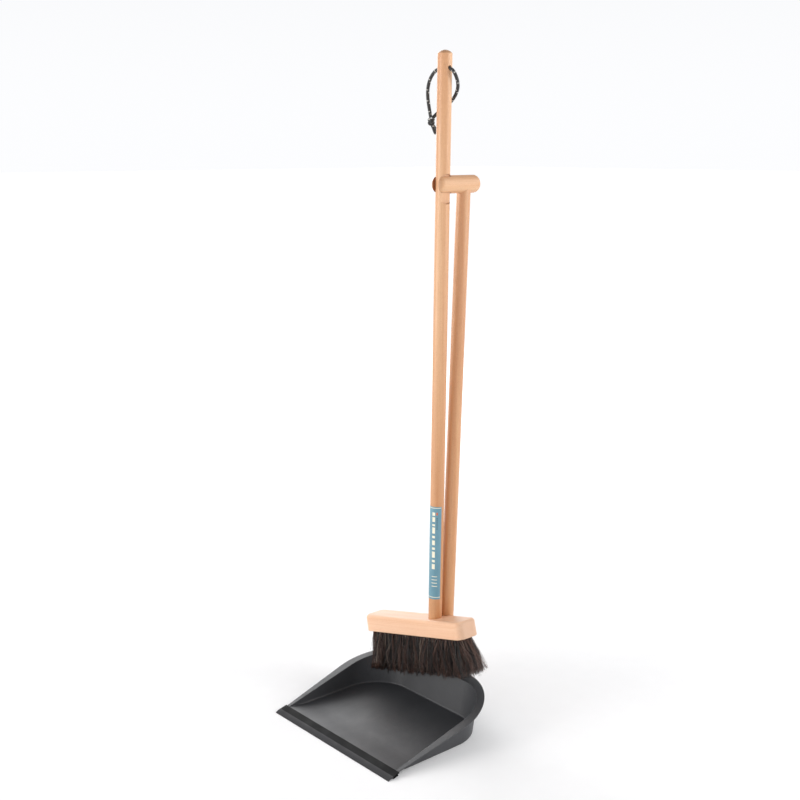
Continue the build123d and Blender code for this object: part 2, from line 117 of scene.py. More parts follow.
class Shader:
    """A material's node graph, built with short calls. A colour or number can be a socket or a value."""

    def __init__(self, name):
        self.material = bpy.data.materials.new(name)
        self.material.use_nodes = True
        tree = self.material.node_tree
        self.nodes, self.links = tree.nodes, tree.links
        self.surface = self.nodes["Principled BSDF"]
        self.place = self.node("TexCoord").outputs["Object"]

    def node(self, kind, **settings):
        made = self.nodes.new("ShaderNode" + kind)
        for name, value in settings.items():
            setattr(made, name, value)
        return made

    def feed(self, socket, value):
        if isinstance(value, bpy.types.NodeSocket):
            self.links.new(value, socket)
        else:
            socket.default_value = value

    def set(self, **values):
        for name, value in values.items():
            self.feed(self.surface.inputs[name.replace("_", " ")], value)

    def math(self, operation, a, b=0.0, clamp=False):
        made = self.node("Math", operation=operation, use_clamp=clamp)
        self.feed(made.inputs[0], a)
        self.feed(made.inputs[1], b)
        return made.outputs[0]

    def mapped(self, scale, turn=(0, 0, 0), place=None):
        made = self.node("Mapping")
        self.feed(made.inputs["Vector"], place or self.place)
        made.inputs["Rotation"].default_value = turn
        made.inputs["Scale"].default_value = scale
        return made.outputs[0]

    def noise(self, place, scale=1.0, detail=2.0, rough=0.5, twist=0.0):
        made = self.node("TexNoise")
        self.feed(made.inputs["Vector"], place)
        made.inputs["Scale"].default_value = scale
        made.inputs["Detail"].default_value = detail
        made.inputs["Roughness"].default_value = rough
        made.inputs["Distortion"].default_value = twist
        return made.outputs["Fac"]

    def between(self, value, low, high, out_low=0.0, out_high=1.0):
        made = self.node("MapRange", interpolation_type="SMOOTHSTEP")
        self.feed(made.inputs["Value"], value)
        made.inputs["From Min"].default_value = low
        made.inputs["From Max"].default_value = high
        made.inputs["To Min"].default_value = out_low
        made.inputs["To Max"].default_value = out_high
        return made.outputs[0]

    def mix(self, share, a, b):
        made = self.node("Mix", data_type="RGBA")
        self.feed(made.inputs[0], share)
        self.feed(made.inputs[6], a)
        self.feed(made.inputs[7], b)
        return made.outputs[2]

    def multiply(self, share, a, b):
        made = self.node("Mix", data_type="RGBA", blend_type="MULTIPLY")
        self.feed(made.inputs[0], share)
        self.feed(made.inputs[6], a)
        self.feed(made.inputs[7], b)
        return made.outputs[2]

    def rounded(self, radius):
        made = self.node("Bevel", samples=4)
        made.inputs["Radius"].default_value = radius
        return made.outputs[0]

    def edge(self, radius, low=0.0, high=0.12):
        """A mask of the surface within radius of a sharp edge."""
        dot = self.node("VectorMath", operation="DOT_PRODUCT")
        self.feed(dot.inputs[0], self.rounded(radius))
        self.feed(dot.inputs[1], self.node("NewGeometry").outputs["Normal"])
        return self.between(self.math("SUBTRACT", 1.0, dot.outputs["Value"]), low, high)

    def bump(self, heights, normal=None):
        """Chains (height, distance) pairs into one bumped normal."""
        for height, distance in heights:
            made = self.node("Bump")
            made.inputs["Distance"].default_value = distance
            self.feed(made.inputs["Height"], height)
            if normal is not None:
                self.feed(made.inputs["Normal"], normal)
            normal = made.outputs[0]
        self.feed(self.surface.inputs["Normal"], normal)


def rgb(red, green, blue):
    """A shader colour from 8-bit sRGB values."""
    linear = [((c / 255 + 0.055) / 1.055) ** 2.4 if c > 10 else c / 255 / 12.92 for c in (red, green, blue)]
    return (*linear, 1.0)


def beech(name, tones, turn=(0, 0, 0), offset=(0.0, 0.0, 0.0), shade=None, slot=None):
    """Beech with its grain along local Z: soft growth bands, spindle flecks, pores and greyer end grain.

    tones are the pale, tan, deep and fleck colours. shade is (low, high, tint) for painted shade that makes
    the wood darker towards the bottom, and slot is (half width, back) for painted shade on the inner faces of
    the slot across the front.
    """
    pale, tan, deep, fleck = tones
    s = Shader(name)
    move = s.node("VectorMath", operation="ADD")
    s.feed(move.inputs[0], s.place)
    move.inputs[1].default_value = offset
    along = s.mapped((1, 1, 1), turn, move.outputs[0])

    bands = s.noise(s.mapped((130, 130, 2.4), place=along), detail=3, rough=0.55, twist=0.35)
    broad = s.noise(s.mapped((34, 34, 1.3), place=along), detail=2)
    fine = s.noise(s.mapped((1100, 1100, 14), place=along), detail=2, rough=0.6)
    colour = s.mix(s.between(bands, 0.36, 0.66), pale, tan)
    colour = s.mix(s.between(broad, 0.42, 0.72, 0.0, 0.75), colour, deep)
    colour = s.multiply(s.between(fine, 0.45, 0.7, 0.0, 0.28), colour, (0.80, 0.66, 0.52, 1))

    spindles = s.noise(s.mapped((2500, 2500, 430), place=along), detail=1.5, rough=0.45)
    flecks = s.between(spindles, 0.57, 0.68)
    colour = s.mix(s.math("MULTIPLY", flecks, 0.3), colour, fleck)
    glints = s.noise(s.mapped((1200, 1200, 160), place=s.mapped((1, 1, 1), (0, 0, 0.7), along)), detail=1)
    colour = s.mix(s.between(glints, 0.62, 0.72, 0.0, 0.35), colour, pale)

    face = s.mapped((1, 1, 1), turn, s.node("TexCoord").outputs["Normal"])
    parts = s.node("SeparateXYZ")
    s.feed(parts.inputs[0], face)
    end = s.between(s.math("ABSOLUTE", parts.outputs[2]), 0.42, 1.0)
    rings = s.node("TexWave", wave_type="RINGS", rings_direction="Z")
    s.feed(rings.inputs["Vector"], s.mapped((1, 1, 1), (0, 0, 0), s.mapped((1, 1, 0), place=along)))
    rings.inputs["Scale"].default_value = 95.0
    rings.inputs["Distortion"].default_value = 3.0
    rings.inputs["Detail"].default_value = 2.0
    dots = s.noise(s.mapped((2600, 2600, 2600), place=along), detail=1)
    grain = s.mix(s.math("MULTIPLY", rings.outputs["Fac"], 0.5), tan, deep)
    grain = s.mix(s.between(dots, 0.5, 0.68, 0.0, 0.6), grain, fleck)
    grain = s.multiply(1.0, grain, (0.76, 0.79, 0.84, 1))
    colour = s.mix(s.math("MULTIPLY", end, 0.8), colour, grain)
    # Painted shade: the slot's inner faces, between the prongs where the stick sits, are darkened to a
    # reddish brown.
    if slot:
        parts = s.node("SeparateXYZ")
        s.feed(parts.inputs[0], s.place)
        half, back = slot
        within = s.between(s.math("ABSOLUTE", parts.outputs[0]), half, half + 0.0003, 1.0, 0.0)
        within = s.math("MULTIPLY", within, s.between(parts.outputs[1], back, back + 0.0003, 1.0, 0.0))
        colour = s.multiply(within, colour, (0.52, 0.34, 0.24, 1))
    # Painted shade: the wood is tinted darker towards the bottom by height.
    if shade:
        parts = s.node("SeparateXYZ")
        s.feed(parts.inputs[0], s.place)
        low, high, tint = shade
        colour = s.multiply(s.between(parts.outputs[2], low, high, 1.0, 0.0), colour, tint)

    rub = s.noise(s.mapped((60, 60, 14), place=along), detail=3)
    s.set(Base_Color=colour, Roughness=s.between(rub, 0.3, 0.7, 0.40, 0.55))
    s.set(Specular_IOR_Level=0.45, Coat_Weight=0.25, Coat_Roughness=0.32)
    pores = s.noise(s.mapped((1500, 1500, 110), place=along), detail=2)
    s.bump(
        [(fine, 0.00006), (s.between(pores, 0.56, 0.68, 1.0, 0.0), 0.00005), (flecks, 0.00002)],
        s.rounded(EDGE_ROUND),
    )
    return s.material


def powder_coat():
    """Satin charcoal powder coat with fine orange peel, a little dust and a painted highlight along its
    edges.
    """
    s = Shader("powder_coat_satin")
    cloud = s.noise(s.mapped((14, 14, 14)), detail=3)
    dust = s.noise(s.mapped((900, 900, 900)), detail=2, rough=0.7)
    speck = s.noise(s.mapped((1700, 1700, 1700)), detail=0)
    colour = s.mix(s.between(cloud, 0.35, 0.7), rgb(56, 57, 60), rgb(62, 63, 66))
    colour = s.mix(s.between(dust, 0.62, 0.75, 0.0, 0.2), colour, rgb(72, 73, 75))
    colour = s.mix(s.between(speck, 0.72, 0.78, 0.0, 0.3), colour, rgb(92, 92, 92))
    # Painted highlight: a lighter grey along the sharp edges.
    colour = s.mix(s.math("MULTIPLY", s.edge(0.0011), 0.3), colour, rgb(112, 112, 112))
    smear = s.noise(s.mapped((22, 9, 22)), detail=4, rough=0.6)
    s.set(Base_Color=colour, Roughness=s.between(smear, 0.3, 0.7, 0.42, 0.50), Specular_IOR_Level=0.5)
    peel = s.noise(s.mapped((1150, 1150, 1150)), detail=1.5)
    wave = s.noise(s.mapped((70, 70, 70)), detail=1)
    s.bump([(peel, 0.00005), (wave, 0.00025)], s.rounded(0.0008))
    return s.material


def rubber():
    """Extruded black rubber with faint draw lines along X, dust and a dull bloom."""
    s = Shader("rubber_extruded")
    lines = s.noise(s.mapped((3, 900, 900)), detail=2)
    bloom = s.noise(s.mapped((45, 45, 45)), detail=4, rough=0.6)
    dust = s.noise(s.mapped((1300, 1300, 1300)), detail=1)
    parts = s.node("SeparateXYZ")
    s.feed(parts.inputs[0], s.place)
    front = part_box("lip_strip")[0].y
    flap = s.between(parts.outputs[1], front + 0.0088, front + 0.0094, 1.0, 0.0)
    colour = s.mix(s.between(bloom, 0.4, 0.75), rgb(13, 13, 14), rgb(20, 20, 21))
    colour = s.mix(s.math("MULTIPLY", flap, 0.9), colour, rgb(66, 66, 68))
    colour = s.mix(s.between(dust, 0.70, 0.78, 0.0, 0.3), colour, rgb(84, 82, 80))
    s.set(Base_Color=colour, Roughness=s.between(bloom, 0.3, 0.7, 0.52, 0.68), Specular_IOR_Level=0.12)
    s.bump([(lines, 0.00006), (dust, 0.00003)], s.rounded(0.0004))
    return s.material


def plated_steel():
    """Zinc-plated steel with turning marks and a dull tarnish in places."""
    s = Shader("steel_plated")
    marks = s.noise(s.mapped((300, 300, 2400)), detail=2)
    tarnish = s.noise(s.mapped((160, 160, 160)), detail=3)
    colour = s.mix(s.between(tarnish, 0.45, 0.7), rgb(198, 198, 196), rgb(150, 146, 138))
    s.set(Base_Color=colour, Roughness=s.between(tarnish, 0.35, 0.7, 0.24, 0.42), Metallic=1.0)
    s.bump([(marks, 0.00003)], s.rounded(0.0002))
    return s.material


def label_film():
    """A matte teal wrap with plain cream bars, thin rules and a small orange block: no lettering."""
    s = Shader("label_matte_film")
    low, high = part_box("label_sticker")
    middle = (low + high) / 2
    tall = high.z - low.z
    parts = s.node("SeparateXYZ")
    s.feed(parts.inputs[0], s.mapped((1, 1, 1)))
    radius = LABEL_R
    east = s.math("SUBTRACT", parts.outputs[0], middle.x)
    north = s.math("SUBTRACT", parts.outputs[1], low.y + radius)
    round_ = s.math("MULTIPLY", s.math("ARCTAN2", north, east), radius)
    up = s.math("DIVIDE", s.math("SUBTRACT", parts.outputs[2], low.z), tall)

    def window(value, a, b, soft):
        rise = s.between(value, a - soft, a + soft)
        return s.math("MULTIPLY", rise, s.between(value, b - soft, b + soft, 1.0, 0.0))

    def block(a0, a1, z0, z1):
        return s.math("MULTIPLY", window(round_, a0, a1, 0.00012), window(up, z0, z1, 0.0012))

    paper = s.noise(s.mapped((1400, 1400, 1400)), detail=2)
    fade = s.noise(s.mapped((60, 60, 20)), detail=3)
    colour = s.mix(s.between(fade, 0.35, 0.7), rgb(103, 145, 161), rgb(114, 156, 171))
    colour = s.mix(s.between(paper, 0.55, 0.75, 0.0, 0.2), colour, rgb(146, 186, 198))
    cream, dark, orange = rgb(238, 230, 206), rgb(52, 66, 72), rgb(205, 104, 60)
    strokes = [(0.905, 0.940), (0.840, 0.890), (0.795, 0.815), (0.715, 0.780), (0.665, 0.690)]
    strokes += [(0.590, 0.640), (0.540, 0.565), (0.455, 0.520), (0.405, 0.430), (0.330, 0.385)]
    for z0, z1 in strokes:
        colour = s.mix(block(-0.0148, -0.0098, z0, z1), colour, cream)
    colour = s.mix(block(-0.0078, -0.0052, 0.912, 0.940), colour, orange)
    for i in range(6):
        colour = s.mix(block(-0.0070, -0.0060, 0.868 - 0.022 * i, 0.884 - 0.022 * i), colour, dark)
    colour = s.mix(block(-0.0340, 0.0, 0.984, 0.990), colour, cream)
    colour = s.mix(block(-0.0340, 0.0, 0.020, 0.026), colour, cream)
    for i in range(4):
        colour = s.mix(block(-0.0150, -0.0060, 0.245 - 0.035 * i, 0.252 - 0.035 * i), colour, cream)
    s.set(Base_Color=colour, Roughness=s.between(fade, 0.3, 0.7, 0.42, 0.55), Specular_IOR_Level=0.4)
    s.bump([(paper, 0.00002)], s.rounded(0.0002))
    return s.material


def horsehair():
    """Each hair's tone comes from its own mesh colour: black, dark brown or pale."""
    s = Shader("horsehair_strands")
    tone = s.node("Attribute", attribute_name="tone").outputs["Fac"]
    along = s.noise(s.mapped((260, 260, 90)), detail=2)
    dark = s.mix(s.between(tone, 0.0, 0.55), rgb(20, 18, 18), rgb(106, 76, 64))
    colour = s.mix(s.between(tone, 0.72, 1.0), dark, rgb(212, 194, 176))
    colour = s.multiply(s.between(along, 0.3, 0.7, 0.0, 0.45), colour, (0.62, 0.57, 0.55, 1))
    s.set(Base_Color=colour, Roughness=s.between(along, 0.3, 0.7, 0.26, 0.40), Specular_IOR_Level=0.7)
    s.bump([(along, 0.00001)])
    return s.material


def braid():
    """Black polyester braid with white tracer yarns, from the mesh's own fleck values, and painted shade in
    its grooves from the depth values.
    """
    s = Shader("cord_braid")
    fleck = s.node("Attribute", attribute_name="fleck").outputs["Fac"]
    depth = s.node("Attribute", attribute_name="depth").outputs["Fac"]
    fuzz = s.noise(s.mapped((2600, 2600, 2600)), detail=2, rough=0.7)
    black = s.mix(s.between(fuzz, 0.4, 0.75), rgb(20, 20, 21), rgb(48, 48, 50))
    colour = s.mix(s.between(fleck, 0.45, 0.55), black, rgb(214, 212, 206))
    # Painted shade: the grooves between the yarns are darkened where the depth value is low.
    colour = s.multiply(s.between(depth, 0.0, 0.6, 0.85, 0.0), colour, (0.25, 0.25, 0.25, 1))
    s.set(Base_Color=colour, Roughness=s.between(fuzz, 0.3, 0.7, 0.5, 0.7), Sheen_Weight=0.25)
    s.bump([(fuzz, 0.00008)])
    return s.material


def dress(node, material):
    """Gives a CAD node a better material."""
    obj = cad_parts[node]
    if not obj.material_slots:
        obj.data.materials.append(material)
    for place in obj.material_slots:
        place.link = "OBJECT"
        place.material = material


def dress_cad():
    """Gives each carried-over CAD node its finish. Offsets keep two sticks' grain from matching."""
    tan = rgb(219, 175, 135), rgb(210, 160, 118), rgb(195, 139, 97), rgb(158, 106, 70)
    pale = rgb(241, 201, 170), rgb(237, 191, 156), rgb(228, 176, 138), rgb(206, 148, 110)
    # Painted shade: both sticks are tinted darker and oranger towards the bottom.
    painted_shade_below = (0.12, 0.85, (0.88, 0.74, 0.60, 1))
    # Painted shade for the inner faces of the grip's slot.
    slot_shade = (FORK_HALF + 0.0001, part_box("grip")[0].y + FORK_DEEP)
    stick = beech("beech_pan_stick", tan, shade=painted_shade_below)
    broom = beech("beech_broom_stick", tan, offset=(0.31, 0.17, 0.4), shade=painted_shade_below)
    grip = beech("beech_grip", tan, turn=(math.pi / 2, 0, 0), offset=(0.11, 0.0, 0.05), slot=slot_shade)
    block = beech("beech_block", pale, turn=(0, BLOCK_TILT - math.pi / 2, 0), offset=(0.0, 0.07, 0.0))
    coat, black, steel = powder_coat(), rubber(), plated_steel()
    looks = {
        "pan_tray": coat,
        "stick_socket": coat,
        "lip_strip": black,
        "socket_rivets": steel,
        "socket_screw": steel,
        "block_screw": steel,
        "tuft_staples": steel,
        "pan_stick": stick,
        "grip_dowel": stick,
        "grip": grip,
        "broom_stick": broom,
        "brush_block": block,
        "label_sticker": label_film(),
    }
    for node, material in looks.items():
        dress(node, material)


# ---------------------------------------------------------------- meshes


def mesh_object(name, points, faces, material, values=None):
    """A mesh object from arrays: faces is a list of index arrays, one for each face size."""
    mesh = bpy.data.meshes.new(name)
    corners = np.concatenate([f.ravel() for f in faces]).astype(np.int32)
    sizes = np.concatenate([np.full(len(f), f.shape[1]) for f in faces]).astype(np.int32)
    mesh.vertices.add(len(points))
    mesh.vertices.foreach_set("co", np.asarray(points, dtype=np.float32).ravel())
    mesh.loops.add(len(corners))
    mesh.loops.foreach_set("vertex_index", corners)
    mesh.polygons.add(len(sizes))
    mesh.polygons.foreach_set("loop_start", np.concatenate([[0], np.cumsum(sizes)[:-1]]).astype(np.int32))
    mesh.polygons.foreach_set("use_smooth", np.ones(len(sizes), dtype=bool))
    mesh.update(calc_edges=True)
    for key, numbers in (values or {}).items():
        layer = mesh.attributes.new(key, "FLOAT", "POINT")
        layer.data.foreach_set("value", np.asarray(numbers, dtype=np.float32).ravel())
    mesh.validate()
    mesh.materials.append(material)
    obj = bpy.data.objects.new(name, mesh)
    bpy.context.scene.collection.objects.link(obj)
    return obj


def unit(vectors):
    length = np.linalg.norm(vectors, axis=-1, keepdims=True)
    return vectors / np.maximum(length, 1e-9)


def nurbs_line(points, resolution=24):
    """The points along one smooth NURBS spline that has the given control points."""
    curve = bpy.data.curves.new("route", "CURVE")
    curve.dimensions = "3D"
    spline = curve.splines.new("NURBS")
    spline.points.add(len(points) - 1)
    for place, point in zip(spline.points, points):
        place.co = (*point, 1.0)
    spline.order_u = 3
    spline.use_endpoint_u = True
    spline.resolution_u = resolution
    holder = bpy.data.objects.new("route", curve)
    line = bpy.data.meshes.new_from_object(holder)
    read = np.array([v.co[:] for v in line.vertices])
    bpy.data.objects.remove(holder)
    bpy.data.curves.remove(curve)
    bpy.data.meshes.remove(line)
    return read


def even(line, step):
    """The same line with points an even step apart."""
    gaps = np.linalg.norm(np.diff(line, axis=0), axis=1)
    reached = np.concatenate([[0.0], np.cumsum(gaps)])
    count = max(4, int(round(reached[-1] / step)) + 1)
    wanted = np.linspace(0.0, reached[-1], count)
    return np.stack([np.interp(wanted, reached, line[:, i]) for i in range(3)], axis=1), wanted


def carried_frames(line):
    """A side and an up direction at each point that don't twist along the line."""
    tangent = unit(np.gradient(line, axis=0))
    side = np.zeros_like(line)
    start = np.cross(tangent[0], (0.0, 0.0, 1.0))
    if np.linalg.norm(start) < 0.1:
        start = np.cross(tangent[0], (0.0, 1.0, 0.0))
    side[0] = start / np.linalg.norm(start)
    for i in range(1, len(line)):
        kept = side[i - 1] - tangent[i] * np.dot(side[i - 1], tangent[i])
        side[i] = kept / np.linalg.norm(kept)
    return side, np.cross(tangent, side)


BRAID_YARNS = 8
BRAID_PITCH = 0.0152
BRAID_STEP = 0.00032
BRAID_AROUND = 48
BRAID_RELIEF = 0.00036
PROUD_YARNS = 1.06


def braid_height(turn, reach):
    """Yarn relief from 0 to 1 and the white yarns, for a turn (0 to 1) round and a reach along the cord."""
    right = turn * BRAID_YARNS + reach / BRAID_PITCH * BRAID_YARNS
    left = turn * BRAID_YARNS - reach / BRAID_PITCH * BRAID_YARNS
    right_yarn, left_yarn = np.floor(right), np.floor(left)
    right_over = (right_yarn + left_yarn) % 2 == 0
    across = np.where(right_over, right - right_yarn, left - left_yarn)
    along = np.where(right_over, left - left_yarn, right - right_yarn)
    relief = np.sqrt(np.clip(1.0 - (2.0 * across - 1.0) ** 2, 0.0, 1.0))
    relief = relief * (0.55 + 0.45 * np.sin(np.pi * along))
    white = right_over & (right_yarn % BRAID_YARNS < 2) & (left_yarn % 4 < 2) & (relief > 0.42)
    return relief, white


def braided_tube(name, line, diameter, material, taper=None, phase=0.0):
    """A round braided cord along a line, closed at both ends. taper gives the radius's share by reach."""
    path, reach = even(line, BRAID_STEP)
    side, up = carried_frames(path)
    turn = np.arange(BRAID_AROUND) / BRAID_AROUND
    relief, white = braid_height(turn[None, :] + phase, reach[:, None])
    share = np.ones(len(path)) if taper is None else taper(reach, reach[-1])
    radius = (diameter / 2 - BRAID_RELIEF * (1.0 - relief)) * share[:, None]
    angle = turn[None, :] * 2 * math.pi
    ring = side[:, None, :] * np.cos(angle)[..., None] + up[:, None, :] * np.sin(angle)[..., None]
    points = (path[:, None, :] + ring * radius[..., None]).reshape(-1, 3)
    points = np.concatenate([points, path[:1], path[-1:]])
    rows, cols = np.meshgrid(np.arange(len(path) - 1), np.arange(BRAID_AROUND), indexing="ij")
    after = (cols + 1) % BRAID_AROUND
    quads = np.stack([rows, rows, rows + 1, rows + 1], axis=-1) * BRAID_AROUND
    quads = (quads + np.stack([cols, after, after, cols], axis=-1)).reshape(-1, 4)
    first, last = len(points) - 2, len(points) - 1
    around = np.arange(BRAID_AROUND)
    ahead = (around + 1) % BRAID_AROUND
    base = (len(path) - 1) * BRAID_AROUND
    start_cap = np.stack([ahead, around, np.full(BRAID_AROUND, first)], axis=1)
    end_cap = np.stack([around + base, ahead + base, np.full(BRAID_AROUND, last)], axis=1)
    values = {
        "fleck": np.concatenate([white.ravel().astype(float), [0, 0]]),
        # The depth values drive the painted shade in the braid's grooves.
        "depth": np.concatenate([relief.ravel(), [0.3, 0.3]]),
    }
    return mesh_object(name, points, [quads[:, ::-1], start_cap[:, ::-1], end_cap[:, ::-1]], material, values)


def at_hole(points):
    """Points measured from the middle of the cord hole, in the set's frame."""
    return [(BROOM @ (Vector(p) + Vector((0, 0, CORD_HOLE_Z))))[:] for p in points]


def joined(name, parts):
    """One object from several meshes."""
    bpy.ops.object.select_all(action="DESELECT")
    for part in parts:
        part.select_set(True)
    bpy.context.view_layer.objects.active = parts[0]
    bpy.ops.object.join()
    parts[0].name = name
    return parts[0]


def knot_line():
    """The middle line of a tight overhand knot, about its own centre."""
    t = np.linspace(0.0, 2 * math.pi, 160)
    x = np.sin(t) + 2.0 * np.sin(2 * t)
    y = np.cos(t) - 2.0 * np.cos(2 * t)
    z = -np.sin(3 * t)
    return np.stack([x * 0.00118, z * 0.0021, y * 0.00118], axis=1)


def tail_taper(reach, whole):
    """A heat-sealed end: slightly pinched, then rounded off."""
    left = whole - reach
    rounded = np.clip(0.25 + np.sqrt(np.clip(left / 0.0012, 0.0, 1.0)), 0.0, 1.0)
    return rounded * np.where(left < 0.003, 0.93, 1.0)


def make_cord():
    """Both runs of the loop as braid along their routes, and the knot with its two tails."""
    material = braid()
    right = nurbs_line(at_hole(CORD_RIGHT))
    left = nurbs_line(at_hole(CORD_LEFT))
    right_cord = braided_tube("loop_cord_right", right, CORD_D * PROUD_YARNS, material)
    left_cord = braided_tube("loop_cord_left", left, CORD_D * PROUD_YARNS, material, phase=0.4)
    centre = np.array(at_hole([KNOT_AT])[0])
    turns = [braided_tube("loop_knot", knot_line() + centre, CORD_D * 1.08, material, phase=0.2)]
    for i, tail in enumerate(CORD_TAILS):
        line = nurbs_line(at_hole(tail))
        turns.append(braided_tube(f"tail_{i}", line, CORD_D, material, tail_taper, 0.3 * i))
    knot = joined("loop_knot", turns)
    for piece, node in ((right_cord, "cord_right"), (left_cord, "cord_left"), (knot, "cord_knot")):
        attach(piece, "broom")
        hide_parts(node)


# ---------------------------------------------------------------- hair

HAIR_ROWS = 5
LOCKS_PER_TUFT = 13
HAIRS_PER_LOCK = 11
HAIR_JOINTS = 9
HAIR_LONG_LEFT = 0.0590
HAIR_LONG_RIGHT = 0.0550
HAIR_SPAN_LEFT = 0.145
HAIR_SPAN_RIGHT = 0.060
HAIR_FLARE_LEFT = 0.016
HAIR_FLARE_RIGHT = 0.021
ROW_FAN = math.tan(math.radians(2.5))
TUFT_R = 0.0021
STRAND_R = 0.00022

# The tray as hairs feel it: an inclined rim plane, a drafted well with round back corners, and the stick.
RIM_FRONT_Z = 0.0026
RIM_SLOPE = 0.2552
RIM_FRONT_Y = -0.1024
WELL_HALF = 0.126
WELL_BACK = 0.092
WELL_CORNER = 0.064
BACK_DRAFT = math.tan(math.radians(10.7))
SHEET = 0.0012
CLEAR = 0.0006
RIM_BRUSH = 0.002
STICK_FOOT = (0.0, 0.1164)
STICK_LEAN = math.tan(math.radians(2.28))
SOCKET_R = 0.0128
SOCKET_TOP = 0.092
STICK_R = 0.0109


def islands(obj):
    """The centres of a mesh's separate solids."""
    mesh = obj.data
    points = np.array([v.co[:] for v in mesh.vertices])
    _, merged = np.unique(np.round(points, 6), axis=0, return_inverse=True)
    merged = merged.ravel()
    parent = np.arange(merged.max() + 1)

    def root(i):
        while parent[i] != i:
            parent[i] = parent[parent[i]]
            i = parent[i]
        return i

    for edge in mesh.edges:
        a, b = root(merged[edge.vertices[0]]), root(merged[edge.vertices[1]])
        parent[a] = b
    groups = {}
    for i, m in enumerate(merged):
        groups.setdefault(root(m), []).append(points[i])
    return np.array([(np.min(g, axis=0) + np.max(g, axis=0)) / 2 for g in groups.values()])


def to_block(points):
    """World points in the brush block's own frame."""
    turn = np.array(BLOCK.inverted())
    return points @ turn[:3, :3].T + turn[:3, 3]


def to_world(points):
    turn = np.array(BLOCK)
    return points @ turn[:3, :3].T + turn[:3, 3]


def way_out(points):
    """How far each point must move to leave the tray's metal and the pan stick."""
    x, y, z = points[..., 0], points[..., 1], points[..., 2]
    rim = RIM_FRONT_Z + RIM_SLOPE * (y - RIM_FRONT_Y) + CLEAR
    tilt = math.sqrt(1 + RIM_SLOPE**2)
    below = (rim - z) / tilt
    half = WELL_HALF - WELL_CORNER
    back = WELL_BACK + BACK_DRAFT * z - WELL_CORNER
    over_x, over_y = np.maximum(np.abs(x) - half, 0.0), np.maximum(y - back, 0.0)
    reach = np.hypot(over_x, over_y)
    outside = reach - WELL_CORNER + CLEAR
    stuck = (below > 0) & (outside > 0)
    lift = np.where(stuck & (below <= np.minimum(outside, RIM_BRUSH)), below, 0.0)
    pull = np.where(stuck & (lift == 0.0), outside, 0.0) / np.maximum(reach, 1e-6)
    move = np.zeros_like(points)
    move[..., 0] = -pull * over_x * np.sign(x)
    move[..., 1] = -pull * over_y - lift * RIM_SLOPE / tilt
    move[..., 2] = lift / tilt + np.maximum(SHEET + CLEAR - z - lift, 0.0)
    round_x = x - STICK_FOOT[0]
    round_y = y - STICK_FOOT[1] - z * STICK_LEAN
    away = np.maximum(np.hypot(round_x, round_y), 1e-6)
    push = np.maximum(np.where(z < SOCKET_TOP, SOCKET_R, STICK_R) / away, 1.0) - 1.0
    move[..., 0] += round_x * push
    move[..., 1] += round_y * push
    return move


def settle(lines, rounds=24):
    """Hairs bend as cantilevers away from the tray, from their fixed roots.

    Only the joints are kept clear. The straight stretches between them can still cut the rim's corner.
    The last step moves joints without keeping a hair's length.
    """
    joints = lines.shape[1]
    length = np.linalg.norm(np.diff(lines, axis=1), axis=2, keepdims=True)
    for _ in range(rounds):
        need = way_out(lines)
        shift = need.copy()
        size = np.linalg.norm(need, axis=2)
        for deep in range(joints - 1, 0, -1):
            for j in range(1, deep):
                share = (j / deep) ** 1.5
                larger = size[:, deep] * share > np.linalg.norm(shift[:, j], axis=1)
                shift[larger, j] = need[larger, deep] * share
        shift[:, 0] = 0.0
        lines = lines + shift * 0.7
        for j in range(1, joints):
            lines[:, j] = lines[:, j - 1] + unit(lines[:, j] - lines[:, j - 1]) * length[:, j - 1]
    last = way_out(lines)
    last[:, :2] = 0.0
    return lines + last


